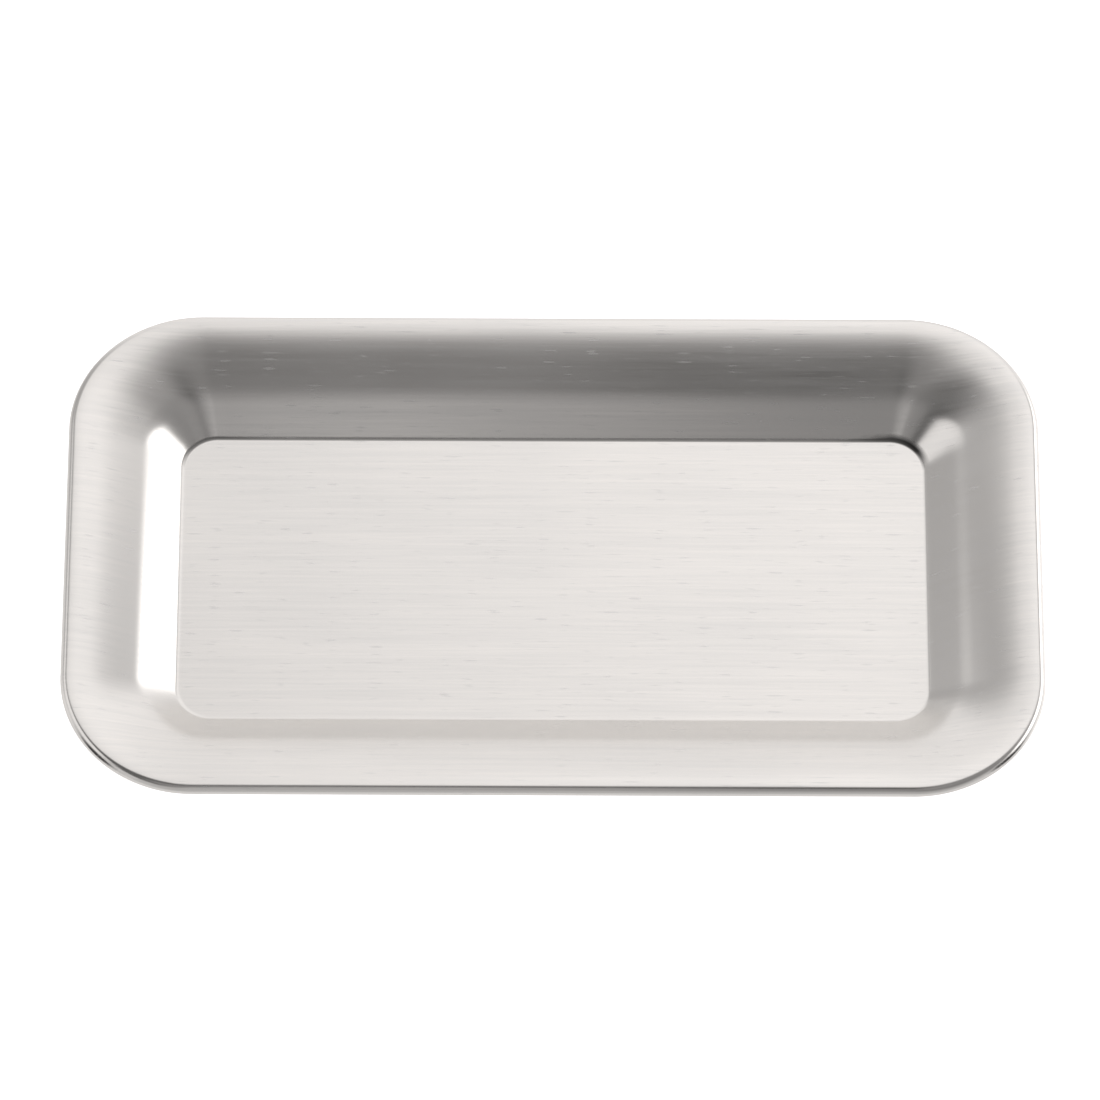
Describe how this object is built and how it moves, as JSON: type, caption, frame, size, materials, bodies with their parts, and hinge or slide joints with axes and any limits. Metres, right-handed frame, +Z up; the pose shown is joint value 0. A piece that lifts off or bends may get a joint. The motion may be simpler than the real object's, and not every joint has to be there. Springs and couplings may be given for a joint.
{
  "type": "counting tray",
  "caption": "Shallow rectangular counting tray pressed from one brushed steel sheet, with a flat floor, sloped walls, a wide curved rim and a rolled edge",
  "frame": {"origin": "on the surface that the tray stands on, under the middle of its floor", "axes": "+X along the tray's length, +Y along its width, +Z up out of the tray"},
  "size_m": [0.25, 0.142, 0.015],
  "materials": {
    "brushed_stainless": "satin, brushed along the tray's length"
  },
  "bodies": {
    "root": {"tray_body": "brushed_stainless"}
  },
  "joints": []
}
